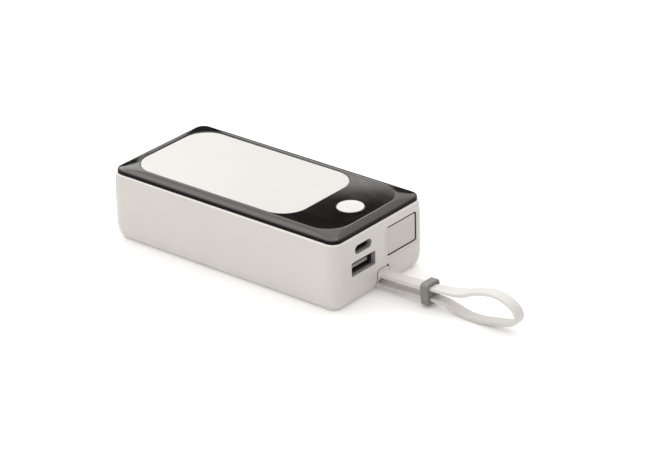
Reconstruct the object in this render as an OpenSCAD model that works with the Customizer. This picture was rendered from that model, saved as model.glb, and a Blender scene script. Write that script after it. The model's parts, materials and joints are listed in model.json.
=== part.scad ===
// Power bank with a work light on its top face, two USB sockets and a charge display
// on its port end, and a carrying strap with a slider.
// Origin: centre of the underside. +X towards the port end, +Z up.

/* [Body] */
// Length of the body, measured over its swollen sides
body_length = 110.6; // [105:0.1:120]
// Width of the body, measured over its swollen sides
body_width = 54.2; // [53:0.1:62]
// Height of the white lower shell, up to the seam with the top frame
shell_height = 27.4; // [27:0.1:30]
// How far the shell's sides swell out past the top frame
side_swell = 1.1; // [0.6:0.1:1.6]
// Height of the soft curve along the underside edge
bottom_curve_height = 7; // [4:0.5:9]
// How far the underside edge is tucked in by that curve
bottom_curve_depth = 3.4; // [2:0.2:4]
// Height of the curve that leads up to the seam
top_curve_height = 7; // [4:0.5:9]
// Plan radius of the top frame's vertical corners
corner_radius = 4; // [3.6:0.2:6]
// Thickness of the shell's floor
floor_thickness = 1.8; // [1.4:0.1:1.9]
// Thickness of the shell's wall at the seam
seam_wall = 1.1; // [0.9:0.1:1.2]

/* [Top frame] */
// Height of the frame's upright black band
band_height = 1.9; // [1.6:0.1:2.4]
// Rise of the sloping lip above the band
lip_rise = 0.85; // [0.6:0.05:1.2]
// Width of the sloping lip
lip_width = 3.65; // [3:0.05:3.8]
// Plan radius of the lip's inner edge
lip_corner_radius = 13; // [8:0.5:15]
// Thickness of the frame's plate
plate_thickness = 1.3; // [1.1:0.1:1.5]
// Depth of the skirt that plugs into the shell
skirt_depth = 2.4; // [1.5:0.1:2.6]

/* [Work light] */
// Length of the diffuser's visible face
diffuser_length = 78.8; // [76:0.1:80]
// Width of the diffuser's visible face
diffuser_width = 43.3; // [42:0.1:43.6]
// Plan radius of the diffuser's corners
diffuser_radius = 10.4; // [8:0.1:12]
// Centre of the diffuser along the body
diffuser_x = -10.5; // [-11:0.1:-10]
// Side of a square light-emitting diode
led_side = 5; // [3:0.5:6]

/* [Button] */
// Centre of the push button along the body
button_x = 41; // [40:0.1:42]
// Radius of the push button's face
button_radius = 5.5; // [5:0.1:5.7]
// How far the button's face stands proud of the frame
button_proud = 0.2; // [0.1:0.05:0.4]
// Travel of the button
button_travel = 0.3; // [0.2:0.05:0.4]

/* [Sockets] */
// Width of the case opening for the USB-A plug
usb_a_width = 14; // [13.4:0.1:14]
// Height of the case opening for the USB-A plug
usb_a_height = 5.6; // [5.3:0.1:5.8]
// Height of the USB-A opening's centre
usb_a_z = 14.75; // [14.6:0.05:14.8]
// Width of the case opening for the USB-C plug
usb_c_width = 9.7; // [9.2:0.1:9.8]
// Height of the case opening for the USB-C plug
usb_c_height = 3.5; // [3.3:0.1:3.6]
// Height of the USB-C opening's centre
usb_c_z = 21.95; // [21.95:0.05:22]
// Sideways place of both sockets
socket_y = -10.5; // [-11:0.1:-10]

/* [Display] */
// Width of the display window
window_width = 17.5; // [16:0.1:18]
// Height of the display window
window_height = 11.5; // [10:0.1:11.6]
// Sideways place of the window's centre
window_y = 12.5; // [12.3:0.1:12.7]
// Height of the window's centre
window_z = 18.15; // [18:0.05:18.2]

/* [Strap] */
// Width of the strap
strap_width = 5; // [4.6:0.1:5.2]
// Thickness of the strap
strap_thickness = 1.5; // [1.2:0.1:1.6]
// Sideways place of the strap's centre
strap_y = 1.1; // [0.9:0.1:1.3]
// Distance between the two strands, centre to centre
strand_spacing = 4.2; // [4:0.1:4.4]
// Length of the slider along the strap
slider_length = 3.5; // [3:0.1:4]
// Place of the slider's centre along X
slider_x = 77; // [76:0.5:78]
// Thickness of the slider's walls
slider_wall = 1.3; // [1:0.1:1.4]

/* [Cells] */
// Diameter of a lithium cell
cell_diameter = 21.2; // [20.8:0.1:21.2]
// Length of a cell without its positive cap
cell_length = 70; // [69:0.5:70]

/* [Hidden] */

$fn = 48;
eps = 0.02;
fit_gap = 0.1;

frame_length = body_length - 2 * side_swell;
frame_width = body_width - 2 * side_swell;
top_z = shell_height + band_height + lip_rise;
plate_z = top_z - plate_thickness;
face_x = body_length / 2;

cavity_length = frame_length + 0.2 - 2 * seam_wall;
cavity_width = frame_width + 0.2 - 2 * seam_wall;
inner_x = cavity_length / 2;
skirt_wall = 1.2;

// Heights at which the shell's outline is drawn, close together where it curves
shell_levels = [0, 0.15, 0.5, 1.1, 2.1, 3.6, 5.2, 7, 14, 20.4, 22.4, 24.4, 25.8, 26.8, 27.4];

board_thickness = 1.2;
board_top = 20.35;
board_bottom = board_top - board_thickness;
board_rear_x = 23.5;
board_front_x = 52.8;
board_width = 47;
board_notch_x = 48;
board_posts = [[27, -20.5], [27, 20.5], [49.5, -20.5], [44.5, 20.5]];

led_board_thickness = 0.8;
led_board_z = 23.9;
led_top = led_board_z + led_board_thickness;
led_columns = [-26, 0, 26];
led_rows = [-10, 10];
tray_height = 3;
tray_post_x = 38.6;
tray_post_y = 20.8;

cell_radius = cell_diameter / 2;
cell_y = cell_radius + 0.2;
cell_z = floor_thickness + 0.4 + cell_radius;
cell_rear_x = -50.5;
cell_front_x = cell_rear_x + cell_length;
cap_height = 0.8;
strip_thickness = 0.2;

socket_front_x = inner_x - 0.1;

anchor_width = 7.2;
anchor_low = 0.95;
anchor_high = 8.7;

// Centre line of the strap seen from the side, X and Z: out along the upper strand,
// round the loop and back along the lower one. It is straight where the slider runs.
strand_slope = 0.06;
strap_route = [
  [52.5, 6.1], [56, 6.1], [60, 6.3], [64, 6.54], [70, 6.9], [78, 7.38], [82, 7.62],
  [86, 8.15], [90, 8.8], [94, 9.9], [98, 11.6], [102, 12.7], [105.5, 13.3], [109, 13.1],
  [112.4, 12.1], [115.1, 10.5], [116.7, 8.3], [116.7, 6.1], [115.1, 4.4], [111.6, 3.3],
  [106, 2.1], [101, 1.15], [96, 0.85], [92, 1.4], [88, 2.4], [85, 3.1], [82, 3.42],
  [78, 3.18], [70, 2.7], [64, 2.34], [60, 2.15], [56, 2.15], [52.5, 2.15],
];

// ---- Shared shapes ----

// Rectangle with true round corners, centred on the origin
module rounded(length, width, radius) {
  square([length - 2 * radius, width], center = true);
  square([length, width - 2 * radius], center = true);
  for (sx = [-1, 1], sy = [-1, 1])
    translate([sx * (length / 2 - radius), sy * (width / 2 - radius)]) circle(radius);
}

// Flat plate with round corners, standing on height z
module plate(length, width, radius, z, height) {
  translate([0, 0, z]) linear_extrude(height) rounded(length, width, radius);
}

// Rounded prism that runs along X from x over depth; its section is width by height
module along_x(width, height, radius, x, depth, y, z) {
  translate([x, y, z]) rotate([90, 0, 90]) linear_extrude(depth) rounded(width, height, radius);
}

// Block given by its low corner and its size
module block(low, size) {
  translate(low) cube(size);
}

// How far the shell's outline stands outside the top frame's outline at height z
function swell_at(z) =
  z < bottom_curve_height
  ? side_swell - bottom_curve_depth * (1 - sqrt(1 - pow(1 - z / bottom_curve_height, 2)))
  : z > shell_height - top_curve_height
  ? side_swell - (side_swell - 0.1)
    * (1 - sqrt(max(0, 1 - pow((z - shell_height + top_curve_height) / top_curve_height, 2))))
  : side_swell;

// The shell's outer form as one solid
module shell_form() {
  hull() {
    for (level = shell_levels) {
      z = min(level, shell_height);
      s = swell_at(z);
      translate([0, 0, min(z, shell_height - eps)])
        linear_extrude(eps)
          rounded(frame_length + 2 * s, frame_width + 2 * s, corner_radius + s, $fn = 32);
    }
  }
}

// ---- Sweeping a section along a route ----

function mix_point(a, b, c, d, t) =
  0.5 * (2 * b + (c - a) * t + (2 * a - 5 * b + 4 * c - d) * t * t
  + (3 * b - a - 3 * c + d) * t * t * t);
function route_at(route, i) = route[max(0, min(len(route) - 1, i))];
// Smooth curve through a route's points, with steps rings to each stretch
function smooth(route, steps) = [
  for (i = [0:len(route) - 2], k = [0:steps - 1])
    mix_point(route_at(route, i - 1), route[i], route[i + 1], route_at(route, i + 2), k / steps),
  route[len(route) - 1],
];
function unit(v) = v / norm(v);
function heading(path, i) = unit(route_at(path, i + 1) - route_at(path, i - 1));

// Closed tube through rings of points that all have the same number of corners
module skin_rings(rings) {
  count = len(rings[0]);
  last = len(rings) - 1;
  points = [for (ring = rings, p = ring) p];
  sides = [
    for (i = [0:last - 1], k = [0:count - 1])
      [i * count + k, (i + 1) * count + k, (i + 1) * count + (k + 1) % count,
       i * count + (k + 1) % count],
  ];
  polyhedron(
    points,
    concat(
      sides,
      [[for (k = [0:count - 1]) k], [for (k = [count - 1:-1:0]) last * count + k]]
    ),
    convexity = 6
  );
}

// Round wire of radius r through three-dimensional route points
module wire(route, r, steps = 3) {
  path = smooth(route, steps);
  skin_rings([
    for (i = [0:len(path) - 1])
      let (
        ahead = heading(path, i),
        side = unit(cross(ahead, abs(ahead[2]) > 0.9 ? [1, 0, 0] : [0, 0, 1])),
        over = cross(side, ahead)
      )
      [for (k = [0:7]) path[i] + r * (cos(-45 * k) * side + sin(-45 * k) * over)]
  ]);
}

// ---- Shell, frame and light ----

module lower_shell() {
  color("whitesmoke")
    difference() {
      union() {
        difference() {
          shell_form();
          plate(cavity_length, cavity_width, 3, floor_thickness, shell_height);
        }
        for (p = board_posts)
          translate([p[0], p[1], floor_thickness - eps])
            cylinder(h = board_bottom - floor_thickness + eps, r = 2.4);
        // Ribs behind the strap anchor's flange
        for (y = [strap_y - 4.6, strap_y + 3])
          block([48.9, y, floor_thickness - eps], [1.6, 1.6, 8.6]);
      }
      for (p = board_posts)
        translate([p[0], p[1], 8]) cylinder(h = 20, r = 0.8);
      along_x(usb_a_width, usb_a_height, 0.5, inner_x - 1, 6, socket_y, usb_a_z);
      along_x(usb_c_width, usb_c_height, usb_c_height / 2 - 0.01, inner_x - 1, 6, socket_y, usb_c_z);
      along_x(window_width, window_height, 1, inner_x - 1, 6, window_y, window_z);
      along_x(anchor_width + 2 * fit_gap, anchor_high - anchor_low + 2 * fit_gap, 1.6,
              inner_x - 3.4, 8, strap_y, (anchor_high + anchor_low) / 2);
    }
}

module top_frame() {
  color([0.08, 0.08, 0.08])
    difference() {
      union() {
        difference() {
          union() {
            plate(frame_length, frame_width, corner_radius, shell_height, band_height);
            hull() {
              plate(frame_length, frame_width, corner_radius,
                    shell_height + band_height - eps, eps, $fn = 32);
              plate(frame_length - 2 * lip_width, frame_width - 2 * lip_width,
                    lip_corner_radius, top_z - eps, eps, $fn = 64);
            }
          }
          plate(cavity_length - 2 * skirt_wall, cavity_width - 2 * skirt_wall, 2,
                shell_height - 1, plate_z - shell_height + 1);
        }
        skirt();
        for (sx = [-1, 1], sy = [-1, 1])
          translate([diffuser_x + sx * tray_post_x, sy * tray_post_y, led_top + tray_height])
            cylinder(h = plate_z - led_top - tray_height + eps, r = 1.7);
        translate([button_x, 0, plate_z - 1.6]) cylinder(h = 1.6 + eps, r = 8);
      }
      translate([diffuser_x, 0, 0])
        plate(diffuser_length + 2 * fit_gap, diffuser_width + 2 * fit_gap,
              diffuser_radius + fit_gap, plate_z - 1, 4);
      translate([button_x, 0, plate_z - 1]) cylinder(h = 4, r = button_radius + 0.2);
      translate([button_x, 0, plate_z - 2]) cylinder(h = 2, r = button_radius + 1.4);
      for (sx = [-1, 1], sy = [-1, 1])
        translate([diffuser_x + sx * tray_post_x, sy * tray_post_y, led_top + tray_height - 1])
          cylinder(h = 1.9, r = 0.7);
    }
}

module skirt() {
  difference() {
    plate(cavity_length - 2 * fit_gap, cavity_width - 2 * fit_gap, 2.9,
          shell_height - skirt_depth, skirt_depth + eps);
    plate(cavity_length - 2 * skirt_wall, cavity_width - 2 * skirt_wall, 2,
          shell_height - skirt_depth - 1, skirt_depth + 2);
  }
}

module light_diffuser() {
  color("white")
    translate([diffuser_x, 0, 0]) {
      plate(diffuser_length, diffuser_width, diffuser_radius, plate_z - 0.2 - eps,
            plate_thickness + 0.15);
      plate(diffuser_length + 2.4, diffuser_width + 2.4, diffuser_radius + 1.2,
            led_top + tray_height + 0.05, 0.9);
    }
}

module diffuser_tape() {
  color("gainsboro")
    translate([diffuser_x, 0, 0])
      difference() {
        plate(diffuser_length + 2.4, diffuser_width + 2.4, diffuser_radius + 1.2,
              led_top + tray_height + 0.95, plate_z - led_top - tray_height - 0.95);
        plate(diffuser_length + 0.3, diffuser_width + 0.3, diffuser_radius + 0.1,
              led_top + tray_height, 3);
      }
}

module light_tray() {
  color("white")
    translate([diffuser_x, 0, 0])
      difference() {
        union() {
          plate(diffuser_length + 2.4, diffuser_width + 2.4, diffuser_radius + 1.2,
                led_top, tray_height);
          for (sx = [-1, 1], sy = [-1, 1])
            translate([sx * tray_post_x, sy * tray_post_y, led_top]) {
              cylinder(h = tray_height, r = 1.9);
              rotate(45 * sx * sy) block([-sx * 1.5 - 1.5, -1.4, 0], [3, 2.8, tray_height]);
            }
        }
        difference() {
          plate(diffuser_length - 2, diffuser_width - 2, diffuser_radius - 1,
                led_top - 1, tray_height + 2);
          for (x = [-13, 13])
            block([x - 0.6, -30, led_top - 2], [1.2, 60, 3.4]);
        }
        for (sx = [-1, 1], sy = [-1, 1])
          translate([sx * tray_post_x, sy * tray_post_y, led_top - 1])
            cylinder(h = tray_height + 2, r = 1);
      }
}

module led_board() {
  color("silver")
    translate([diffuser_x, 0, 0])
      plate(diffuser_length + 1, diffuser_width + 1, diffuser_radius + 0.5,
            led_board_z, led_board_thickness);
}

module light_leds() {
  color("khaki")
    for (x = led_columns, y = led_rows)
      translate([diffuser_x + x, y, led_top + 0.4])
        cube([led_side, led_side, 0.8], center = true);
}

module screw(length, radius) {
  cylinder(h = length, r = radius);
  translate([0, 0, -1]) cylinder(h = 1, r = 1.7 * radius);
}

module tray_screws() {
  color("dimgray")
    for (sx = [-1, 1], sy = [-1, 1])
      translate([diffuser_x + sx * tray_post_x, sy * tray_post_y, led_top - 0.01])
        screw(tray_height + 0.7, 0.68);
}

// ---- Button and switch ----

module button_cap() {
  color("white")
    translate([button_x, 0, 0]) {
      translate([0, 0, plate_z - 0.3])
        cylinder(h = plate_thickness + 0.3 + button_proud, r = button_radius);
      translate([0, 0, plate_z - 1.1]) cylinder(h = 0.9, r = button_radius + 0.9);
      translate([0, 0, 25.05]) cylinder(h = plate_z - 25.05, r = 1.6);
    }
}

module switch_plunger() {
  color("dimgray")
    translate([button_x, 0, 22.8]) cylinder(h = 2.25, r = 1.6);
}

module switch_body() {
  color([0.15, 0.15, 0.15])
    difference() {
      block([button_x - 3, -3, board_top], [6, 6, 3.3]);
      translate([button_x, 0, 22.3]) cylinder(h = 4, r = 1.8);
    }
}

module switch_cover() {
  color("silver")
    difference() {
      block([button_x - 3.1, -3.1, board_top + 3.3], [6.2, 6.2, 0.3]);
      translate([button_x, 0, 22]) cylinder(h = 4, r = 1.9);
    }
}

// ---- Main board and what it carries ----

module main_board() {
  color("seagreen")
    difference() {
      block([board_rear_x, -board_width / 2, board_bottom],
            [board_front_x - board_rear_x, board_width, board_thickness]);
      block([board_notch_x, window_y - window_width / 2 - 2, 0], [10, 40, 30]);
      for (p = board_posts)
        translate([p[0], p[1], 10]) cylinder(h = 20, r = 1.1);
    }
}

module board_screws() {
  color("dimgray")
    for (p = board_posts)
      translate([p[0], p[1], board_top]) mirror([0, 0, 1]) screw(6, 0.78);
}

module usb_a_shell() {
  shell_x = socket_front_x - 14;
  color("silver") {
    difference() {
      along_x(13.1, 5.3, 0.5, shell_x, 14, socket_y, usb_a_z);
      along_x(12.5, 4.7, 0.3, shell_x - 1, 16, socket_y, usb_a_z);
    }
    // Legs that carry the socket under the board
    for (sy = [-1, 1], x = [shell_x + 2, shell_x + 9])
      block([x, socket_y + sy * 6.4 - 0.15, usb_a_z + 2.5],
            [2, 0.3, board_bottom - usb_a_z - 2.5]);
  }
}

module usb_a_tongue() {
  shell_x = socket_front_x - 14;
  color("white") {
    along_x(12.4, 4.6, 0.25, shell_x + 0.4, 2, socket_y, usb_a_z);
    along_x(11.2, 1.4, 0.1, shell_x + 2.3, 11.1, socket_y, usb_a_z - 0.6);
  }
}

module usb_a_contacts() {
  shell_x = socket_front_x - 14;
  color("gold")
    for (y = [-3.5, -1, 1, 3.5])
      block([shell_x + 3, socket_y + y - 0.5, usb_a_z - 1.5], [9, 1, 0.2]);
}

module usb_c_shell() {
  shell_x = socket_front_x - 7.3;
  color("silver")
    difference() {
      along_x(8.9, 3.16, 1.57, shell_x, 7.3, socket_y, usb_c_z);
      along_x(8.34, 2.56, 1.27, shell_x - 1, 9.3, socket_y, usb_c_z);
    }
}

module usb_c_tongue() {
  shell_x = socket_front_x - 7.3;
  color([0.15, 0.15, 0.15]) {
    along_x(8.2, 2.4, 1.15, shell_x + 0.2, 1.3, socket_y, usb_c_z);
    along_x(6.6, 0.7, 0.3, shell_x + 1.4, 5, socket_y, usb_c_z);
  }
}

module usb_c_contacts() {
  shell_x = socket_front_x - 7.3;
  color("gold")
    for (k = [0:11], side = [-1, 1])
      block([shell_x + 2.2, socket_y + (k - 5.5) * 0.5 - 0.12, usb_c_z + side * 0.38 - 0.03],
            [4, 0.24, 0.06]);
}

module display_window() {
  color("rosybrown") {
    along_x(window_width - 0.3, window_height - 0.3, 0.85, inner_x - 0.2, 2, window_y, window_z);
    along_x(window_width + 1.8, window_height + 1.8, 1, inner_x - 0.95, 0.85, window_y, window_z);
  }
}

module display_module() {
  color("ivory")
    along_x(window_width - 1, window_height - 1, 0.3, inner_x - 4.1, 3.1, window_y, window_z);
}

module power_inductor() {
  color("dimgray") {
    block([32.4, -17.6, board_top], [7.2, 7.2, 0.4]);
    translate([36, -14, board_top + 0.4 - eps]) cylinder(h = 3, r = 3.4);
  }
}

module charge_chip() {
  color([0.12, 0.12, 0.12])
    block([31, -4.5, board_top], [5, 5, 0.9]);
}

module protection_chips() {
  color([0.12, 0.12, 0.12])
    for (y = [6, 13])
      block([25.5, y, board_top], [4, 5, 1.5]);
}

module bulk_capacitors() {
  color("darkorange")
    for (y = [6, 13])
      block([33, y, board_top], [7.3, 4.3, 2.8]);
}

module chip_capacitors() {
  color("tan")
    for (k = [0:4])
      block([26 + 0.2, -16 + 2.4 * k, board_top], [3.2, 1.6, 1.2]);
}

// ---- Cells ----

module battery_cell(y) {
  translate([cell_rear_x, y, cell_z])
    rotate([0, 90, 0]) {
      difference() {
        cylinder(h = cell_length, r = cell_radius);
        translate([0, 0, cell_length - 4])
          difference() {
            cylinder(h = 1.2, r = cell_radius + 1);
            cylinder(h = 1.2, r = cell_radius - 0.5);
          }
      }
      translate([0, 0, cell_length - eps]) cylinder(h = cap_height + eps, r = 4.5);
    }
}

module battery_cell_left() {
  color("mediumseagreen") battery_cell(cell_y);
}

module battery_cell_right() {
  color("mediumseagreen") battery_cell(-cell_y);
}

module cell_insulators() {
  color("white")
    for (sy = [-1, 1])
      translate([cell_front_x, sy * cell_y, cell_z])
        rotate([0, 90, 0])
          difference() {
            cylinder(h = 0.3, r = cell_radius - 0.6);
            translate([0, 0, -1]) cylinder(h = 3, r = 4.8);
          }
}

module cell_saddles() {
  color("dimgray")
    for (x = [-42, 6])
      difference() {
        block([x, -22.5, floor_thickness], [6, 45, 6]);
        for (sy = [-1, 1])
          translate([x - 1, sy * cell_y, cell_z])
            rotate([0, 90, 0]) cylinder(h = 8, r = cell_radius + 0.05);
      }
}

module foam_strips() {
  color("slategray")
    for (sy = [-1, 1])
      block([-44, sy * cell_y - 4, cell_z + cell_radius + 0.02],
            [56, 8, led_board_z - cell_z - cell_radius - 0.04]);
}

module nickel_strip_front() {
  color("silver")
    block([cell_front_x + cap_height, -15, cell_z - 4], [strip_thickness, 30, 8]);
}

module nickel_strip_rear() {
  color("silver")
    block([cell_rear_x - strip_thickness, -15, cell_z - 4], [strip_thickness, 30, 8]);
}

// ---- Leads, each a single soldered wire ----

module battery_lead_red() {
  x = cell_front_x + cap_height + strip_thickness;
  color("red")
    wire([[x, 14, 14], [x + 0.35, 14, 14], [x + 0.7, 14, 14.05], [x + 1.3, 13.9, 15],
          [x + 1.4, 13.2, 18.8], [x + 2.4, 12.2, 21.6], [x + 4.2, 12, 22.6], [x + 5.7, 12, 22.3],
          [x + 6.3, 12, 21.5], [x + 6.3, 12, board_top + 0.6], [x + 6.3, 12, board_top]], 0.6);
}

module battery_lead_black() {
  x = cell_rear_x - strip_thickness;
  color([0.1, 0.1, 0.1])
    wire([[x, 0, 15], [x - 0.35, 0, 15], [x - 0.7, 0, 15.05], [x - 1.15, 0, 16],
          [x - 1.15, 0, 18.5], [x - 0.4, 0, 20.6], [x + 1.6, 0, 21.5], [x + 6, 0, 21.6],
          [-28, 0, 21.6], [-10, 0, 21.6], [8, 0, 21.6], [19, 0, 21.7], [23.5, 0.7, 22.2],
          [26, 1.3, 22.5], [27.6, 1.5, 22.1], [28.2, 1.5, 21.4], [28.2, 1.5, board_top + 0.5],
          [28.2, 1.5, board_top]], 0.6, 2);
}

module light_lead(y) {
  x = diffuser_x + diffuser_length / 2 + 0.5;
  wire([[x, y, 24.2], [x + 0.4, y, 24.2], [x + 0.8, y, 24.2], [x + 1.8, y, 23.7],
        [x + 2.2, y, 22.6], [x + 2.2, y, 21.6], [x + 2.2, y, 21], [x + 2.2, y, board_top]],
       0.45, 2);
}

module light_lead_red() {
  color("red") light_lead(4.2);
}

module light_lead_black() {
  color([0.1, 0.1, 0.1]) light_lead(2.6);
}

// ---- Strap ----

module strap_anchor() {
  color("gainsboro")
    intersection() {
      shell_form();
      union() {
        along_x(anchor_width, anchor_high - anchor_low, 1.5, inner_x - 2.6, 8,
                strap_y, (anchor_high + anchor_low) / 2);
        along_x(anchor_width + 3, anchor_high - floor_thickness + 1.4, 1, inner_x - 2.6, 2.5,
                strap_y, (anchor_high + floor_thickness + 1.5) / 2);
      }
    }
}

// Ring of the strap's section: eight corners of a flat rectangle with eased edges
function strap_ring(at, ahead) =
  let (
    w = strap_width / 2,
    t = strap_thickness / 2,
    e = 0.4,
    out = [-ahead[1], ahead[0]],
    corners = [[w, t - e], [w - e, t], [e - w, t], [-w, t - e], [-w, e - t], [e - w, -t],
               [w - e, -t], [w, e - t]]
  )
  [for (c = corners) [at[0] + out[0] * c[1], strap_y + c[0], at[1] + out[1] * c[1]]];

module strap() {
  path = smooth(strap_route, 2);
  color("white")
    skin_rings([for (i = [0:len(path) - 1]) strap_ring(path[i], heading(path, i))]);
}

module strap_slider() {
  slot_width = strap_width + 0.6;
  slot_height = strap_thickness + 0.6;
  slider_z = 6.3 + strand_slope * (slider_x - 60) - strand_spacing / 2;
  color("gray")
    translate([slider_x, strap_y, slider_z])
      rotate([0, -atan(strand_slope), 0])
        difference() {
          along_x(slot_width + 2 * slider_wall - 0.2,
                  strand_spacing + slot_height + 2 * slider_wall, 1.6,
                  -slider_length / 2, slider_length, 0, 0);
          for (side = [-1, 1])
            along_x(slot_width, slot_height, 0.3, -slider_length, 2 * slider_length,
                    0, side * strand_spacing / 2);
        }
}

lower_shell();
top_frame();
light_diffuser();
diffuser_tape();
light_tray();
led_board();
light_leds();
tray_screws();
button_cap();
switch_plunger();
switch_body();
switch_cover();
main_board();
board_screws();
usb_a_shell();
usb_a_tongue();
usb_a_contacts();
usb_c_shell();
usb_c_tongue();
usb_c_contacts();
display_window();
display_module();
power_inductor();
charge_chip();
protection_chips();
bulk_capacitors();
chip_capacitors();
battery_cell_left();
battery_cell_right();
cell_insulators();
cell_saddles();
foam_strips();
nickel_strip_front();
nickel_strip_rear();
battery_lead_red();
battery_lead_black();
light_lead_red();
light_lead_black();
strap_anchor();
strap();
strap_slider();
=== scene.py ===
"""Looks of a power bank with a work light, two USB sockets, a charge display and a strap.

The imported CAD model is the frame. The outer pieces are built here and stand for their CAD nodes;
the inner nodes stay, with a finish and eased edges.
"""

import json
import math

import bmesh
import bpy
from mathutils import Matrix, Vector


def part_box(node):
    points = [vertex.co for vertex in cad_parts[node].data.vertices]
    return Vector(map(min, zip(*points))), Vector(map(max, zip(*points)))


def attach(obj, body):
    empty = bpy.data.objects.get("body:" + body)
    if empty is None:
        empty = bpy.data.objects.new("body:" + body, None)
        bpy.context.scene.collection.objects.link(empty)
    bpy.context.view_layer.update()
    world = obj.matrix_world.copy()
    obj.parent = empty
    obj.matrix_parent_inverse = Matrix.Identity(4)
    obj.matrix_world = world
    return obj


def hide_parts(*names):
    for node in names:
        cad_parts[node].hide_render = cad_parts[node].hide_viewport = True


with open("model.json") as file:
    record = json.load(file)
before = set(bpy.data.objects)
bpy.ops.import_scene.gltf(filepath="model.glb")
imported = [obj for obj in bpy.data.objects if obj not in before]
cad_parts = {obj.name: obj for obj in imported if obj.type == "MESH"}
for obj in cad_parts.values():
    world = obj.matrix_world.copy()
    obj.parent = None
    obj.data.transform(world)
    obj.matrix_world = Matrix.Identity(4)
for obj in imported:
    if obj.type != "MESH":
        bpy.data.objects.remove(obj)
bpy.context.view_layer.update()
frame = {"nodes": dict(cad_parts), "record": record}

# ---- Sizes, in metres, worked out from the frame ----

MM = 0.001
shell_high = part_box("lower_shell")[1]
top_low, top_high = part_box("top_frame")
light_low, light_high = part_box("light_diffuser")
cap_low, cap_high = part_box("button_cap")

SEAM_Z = shell_high.z
TOP_Z = top_high.z
FACE_X = shell_high.x
FRAME_LENGTH = top_high.x - top_low.x
FRAME_WIDTH = top_high.y - top_low.y
SIDE_SWELL = shell_high.x - top_high.x
BOTTOM_CURVE_HEIGHT = 7 * MM
BOTTOM_CURVE_DEPTH = 3.4 * MM
TOP_CURVE_HEIGHT = 7 * MM
RIM_STEP = 0.1 * MM
CORNER_RADIUS = 4 * MM
FLOOR_THICKNESS = 1.8 * MM
CAVITY_LENGTH = FRAME_LENGTH - 2 * MM
CAVITY_WIDTH = FRAME_WIDTH - 2 * MM
INNER_X = CAVITY_LENGTH / 2

BAND_TOP = SEAM_Z + 1.9 * MM
LIP_WIDTH = 3.65 * MM
LIP_CORNER = 10.5 * MM
PLATE_THICKNESS = 1.3 * MM
SKIRT_DEPTH = 2.4 * MM
SKIRT_WALL = 1.2 * MM

LIGHT_X = (light_low.x + light_high.x) / 2
LIGHT_FLANGE = 1.2 * MM
LIGHT_LENGTH = light_high.x - light_low.x - 2 * LIGHT_FLANGE
LIGHT_WIDTH = light_high.y - light_low.y - 2 * LIGHT_FLANGE
LIGHT_RADIUS = 10.4 * MM
LIGHT_GAP = 0.12 * MM

BUTTON_X = (cap_low.x + cap_high.x) / 2
BUTTON_RADIUS = 5.25 * MM

SOCKET_Y = -10.5 * MM
USB_A_Z = 14.75 * MM
USB_C_Z = 21.95 * MM
SOCKET_FRONT = INNER_X - 0.1 * MM
WINDOW_WIDTH = 17.7 * MM
WINDOW_HEIGHT = 11.9 * MM
WINDOW_Y = 12.5 * MM
WINDOW_Z = 18.15 * MM

STRAP_WIDTH = 5 * MM
STRAP_THICKNESS = 1.5 * MM
STRAP_Y = 1.1 * MM
STRAND_SPACING = 4.2 * MM
STRAND_SLOPE = 0.06
ANCHOR_HIGH = 8.7 * MM
ANCHOR_HEIGHT = 7.75 * MM
ANCHOR_Z = ANCHOR_HIGH - ANCHOR_HEIGHT / 2
ANCHOR_WIDTH = 7.2 * MM
RELIEF_Y = STRAP_Y + 2.75 * MM
RELIEF_Z = ANCHOR_HIGH - 0.1 * MM

# Openings in the port end: middle in Y and Z, width and height
USB_A_OPENING = (SOCKET_Y, USB_A_Z, 14 * MM, 5.6 * MM)
USB_C_OPENING = (SOCKET_Y, USB_C_Z, 9.7 * MM, 3.5 * MM)
WINDOW_OPENING = (WINDOW_Y, WINDOW_Z, WINDOW_WIDTH, WINDOW_HEIGHT)
ANCHOR_OPENING = (STRAP_Y, ANCHOR_Z, ANCHOR_WIDTH, ANCHOR_HEIGHT)

# Centre line of the strap seen from the side, X and Z in millimetres, out of the housing and back in
STRAP_ROUTE = [
    (52.5, 6.1), (56, 6.1), (60, 6.3), (64, 6.54), (70, 6.9), (78, 7.38), (82, 7.62),
    (86, 8.15), (90, 8.8), (94, 9.9), (98, 11.6), (102, 12.7), (105.5, 13.3), (109, 13.1),
    (112.4, 12.1), (115.1, 10.5), (116.7, 8.3), (116.7, 6.1), (115.1, 4.4), (111.6, 3.3),
    (106, 2.1), (101, 1.15), (96, 0.85), (92, 1.4), (88, 2.4), (85, 3.1), (82, 3.42),
    (78, 3.18), (70, 2.7), (64, 2.34), (60, 2.15), (56, 2.15), (52.5, 2.15),
]
UPPER_STRAND_Z = STRAP_ROUTE[1][1] * MM
LOWER_STRAND_Z = STRAP_ROUTE[-2][1] * MM


# ---- Camera ----

AZIMUTH = math.radians(39.37)
ELEVATION = math.radians(25.96)
ROLL = math.radians(-1.17)
CAMERA_DISTANCE = 1.119
CAMERA_TARGET = Vector((0.02516, 0.00266, 0.01369))
LENS_MM = 166


def place_camera():
    """Long lens from above, turned to see a long side and the port end, and rolled slightly."""
    back = Vector((
        math.sin(AZIMUTH) * math.cos(ELEVATION),
        -math.cos(AZIMUTH) * math.cos(ELEVATION),
        math.sin(ELEVATION),
    ))
    level_right = Vector((0, 0, 1)).cross(back).normalized()
    level_up = back.cross(level_right)
    right = math.cos(ROLL) * level_right + math.sin(ROLL) * level_up
    up = back.cross(right)
    data = bpy.data.cameras.new("camera")
    data.lens = LENS_MM
    data.sensor_width = 36
    data.clip_start = 0.05
    data.clip_end = 50
    camera = bpy.data.objects.new("camera", data)
    bpy.context.scene.collection.objects.link(camera)
    turn = Matrix((right, up, back)).transposed().to_4x4()
    camera.matrix_world = Matrix.Translation(CAMERA_TARGET + back * CAMERA_DISTANCE) @ turn
    bpy.context.scene.camera = camera


place_camera()


# ---- Mesh helpers ----

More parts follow.
